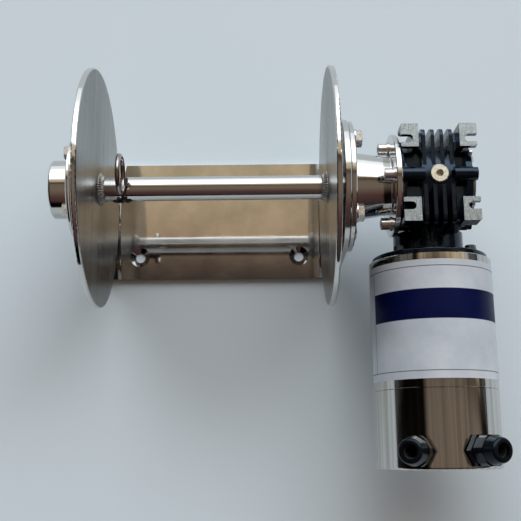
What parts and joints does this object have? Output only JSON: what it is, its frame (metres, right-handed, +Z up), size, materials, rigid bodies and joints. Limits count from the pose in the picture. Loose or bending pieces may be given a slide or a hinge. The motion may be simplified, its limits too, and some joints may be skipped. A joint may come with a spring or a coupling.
{
  "type": "anchor windlass",
  "caption": "Deck-mounted rope drum windlass: open drum between two cheeks, driven by an electric motor at right angles through a worm gearbox.",
  "frame": {"origin": "centre of the four deck holes, on the underside of the deck plate", "axes": "+X along the drum shaft towards the gearbox, +Y square to the shaft and away from the motor, +Z up from the deck"},
  "size_m": [0.3687, 0.332, 0.21],
  "materials": {
    "bearing_steel": "ground bearing steel",
    "black_casting": "gloss black paint on cast aluminium, machined faces bare",
    "black_nylon": "moulded nylon",
    "carbon": "carbon brush",
    "cast_alloy": "die-cast alloy",
    "copper": "enamelled copper wire and bars",
    "fastener_steel": "bright stainless fasteners",
    "ferrite": "ferrite magnet",
    "lamination": "stacked steel sheet",
    "machine_steel": "turned steel",
    "polished_stainless": "polished stainless steel",
    "printed_label": "printed film, white with a dark blue band",
    "rubber": "nitrile rubber",
    "satin_stainless": "satin stainless steel plate",
    "tin_bronze": "cast bronze, cut teeth",
    "weld_metal": "weld bead, brushed",
    "zinc_plug": "zinc plated"
  },
  "bodies": {
    "frame": {"base_plate": "satin_stainless", "cheek_left": "polished_stainless", "cheek_right": "polished_stainless", "frame_welds": "weld_metal", "left_bearing_housing": "polished_stainless", "left_housing_washers": "fastener_steel", "left_housing_bolts": "fastener_steel", "bell_housing": "polished_stainless", "bell_washers": "fastener_steel", "bell_bolts": "fastener_steel", "gearbox_screws": "fastener_steel", "gearbox_screw_washers": "fastener_steel", "gearbox_housing": "black_casting", "gearbox_side_cover": "black_casting", "side_cover_screws": "fastener_steel", "oil_plug": "zinc_plug", "worm_end_cap": "black_nylon", "motor_flange": "black_casting", "motor_flange_bolts": "fastener_steel", "motor_front_plate": "cast_alloy", "motor_shell": "polished_stainless", "motor_rear_cover": "polished_stainless", "motor_label": "printed_label", "motor_yoke": "machine_steel", "field_magnets": "ferrite", "motor_rear_plate": "cast_alloy", "brushes": "carbon", "brush_holders": "cast_alloy", "brush_springs": "fastener_steel", "gland_bodies": "black_nylon", "gland_nuts": "black_nylon", "gland_seals": "rubber", "gland_locknuts": "black_nylon", "drum_bearing_outer_rings": "bearing_steel", "wheel_bearing_outer_rings": "bearing_steel", "rotor_bearing_outer_rings": "bearing_steel", "shaft_seals": "rubber", "gearbox_seals": "rubber"},
    "drum": {"drum_shaft": "polished_stainless", "drum_disc_left": "satin_stainless", "drum_disc_right": "satin_stainless", "drum_welds": "weld_metal", "rope_eye": "polished_stainless", "shaft_key": "machine_steel", "shaft_circlips": "machine_steel", "drum_bearing_inner_rings": "bearing_steel", "wheel_hub": "machine_steel", "worm_wheel": "tin_bronze", "shaft_end_bolt": "fastener_steel", "wheel_bearing_inner_rings": "bearing_steel"},
    "drum_cages": {"drum_bearing_balls": "bearing_steel"},
    "rotor": {"worm": "machine_steel", "armature_shaft": "machine_steel", "drive_key": "machine_steel", "armature_core": "lamination", "armature_windings": "copper", "commutator": "copper", "rotor_bearing_inner_rings": "bearing_steel"},
    "rotor_cages": {"rotor_bearing_balls": "bearing_steel"}
  },
  "joints": [
    {"name": "drum_spin", "type": "hinge", "parent": "frame", "child": "drum", "pos_m": [0, 0, 0.11], "axis": [1, 0, 0], "continuous": true},
    {"name": "rotor_spin", "type": "hinge", "parent": "frame", "child": "rotor", "pos_m": [0.183, 0, 0.08], "axis": [0, 1, 0], "continuous": true},
    {"name": "drum_cage_spin", "type": "hinge", "parent": "frame", "child": "drum_cages", "pos_m": [0, 0, 0.11], "axis": [1, 0, 0], "continuous": true},
    {"name": "rotor_cage_spin", "type": "hinge", "parent": "frame", "child": "rotor_cages", "pos_m": [0.183, 0, 0.08], "axis": [0, 1, 0], "continuous": true}
  ],
  "couplings": [
    {"joint": "rotor_spin", "follows": "drum_spin", "ratio": -30},
    {"joint": "drum_cage_spin", "follows": "drum_spin", "ratio": 0.4},
    {"joint": "rotor_cage_spin", "follows": "drum_spin", "ratio": -12}
  ]
}
